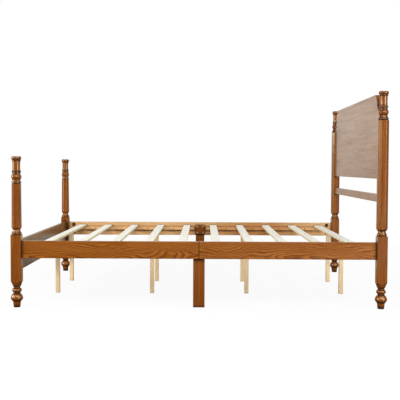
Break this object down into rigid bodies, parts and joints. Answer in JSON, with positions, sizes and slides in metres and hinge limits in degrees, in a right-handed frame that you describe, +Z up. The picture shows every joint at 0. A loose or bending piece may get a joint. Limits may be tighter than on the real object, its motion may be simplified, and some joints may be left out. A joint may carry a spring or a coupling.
{
  "type": "wooden post bed frame",
  "caption": "Wooden post bed for a queen mattress: turned, faceted posts on ball feet, scrolled panel headboard, low plank footboard, split side rails and a slatted deck on legs.",
  "frame": {"origin": "centre of the bed on the floor", "axes": "+X towards the headboard, +Y to the left as seen from the foot of the bed, +Z up"},
  "size_m": [2.14, 1.636, 1.232],
  "materials": {
    "post_wood": "caramel stain under satin-gloss lacquer",
    "rail_wood": "caramel stain under satin lacquer",
    "headboard_wood": "caramel stain under satin lacquer",
    "footboard_wood": "caramel stain under satin lacquer",
    "splice_wood": "darker caramel stain under satin lacquer",
    "ledger_wood": "caramel stain under satin lacquer",
    "slat_wood": "planed pale softwood, unfinished",
    "support_wood": "planed pale softwood, unfinished",
    "dowel_wood": "plain beech",
    "zinc_steel": "bright zinc plate",
    "screw_steel": "zinc plate",
    "dark_steel": "dull dark steel"
  },
  "bodies": {
    "root": {"foot_post_right": "post_wood", "ball_foot_foot_right": "post_wood", "side_rail_right_foot": "rail_wood", "ledger_right_foot": "ledger_wood", "foot_post_left": "post_wood", "ball_foot_foot_left": "post_wood", "side_rail_left_foot": "rail_wood", "ledger_left_foot": "ledger_wood", "head_post_right": "post_wood", "ball_foot_head_right": "post_wood", "side_rail_right_head": "rail_wood", "ledger_right_head": "ledger_wood", "head_post_left": "post_wood", "ball_foot_head_left": "post_wood", "side_rail_left_head": "rail_wood", "ledger_left_head": "ledger_wood", "headboard_panel": "headboard_wood", "headboard_rail": "headboard_wood", "footboard": "footboard_wood", "splice_block_right": "splice_wood", "centre_leg_right": "splice_wood", "splice_block_left": "splice_wood", "centre_leg_left": "splice_wood", "slat_01": "slat_wood", "slat_02": "slat_wood", "slat_03": "slat_wood", "slat_04": "slat_wood", "slat_05": "slat_wood", "slat_06": "slat_wood", "slat_07": "slat_wood", "slat_08": "slat_wood", "slat_09": "slat_wood", "slat_10": "slat_wood", "support_leg_01_right": "support_wood", "support_leg_01_left": "support_wood", "support_leg_04_right": "support_wood", "support_leg_04_left": "support_wood", "support_leg_07_right": "support_wood", "support_leg_07_left": "support_wood", "support_leg_10_right": "support_wood", "support_leg_10_left": "support_wood", "foot_bolts": "zinc_steel", "splice_bolts": "zinc_steel", "slat_screws": "screw_steel", "leg_screws": "screw_steel", "rail_bolts": "dark_steel", "half_moon_washers": "dark_steel", "rail_nuts": "dark_steel", "ledger_screws": "dark_steel", "rail_dowels": "dowel_wood"}
  },
  "joints": []
}
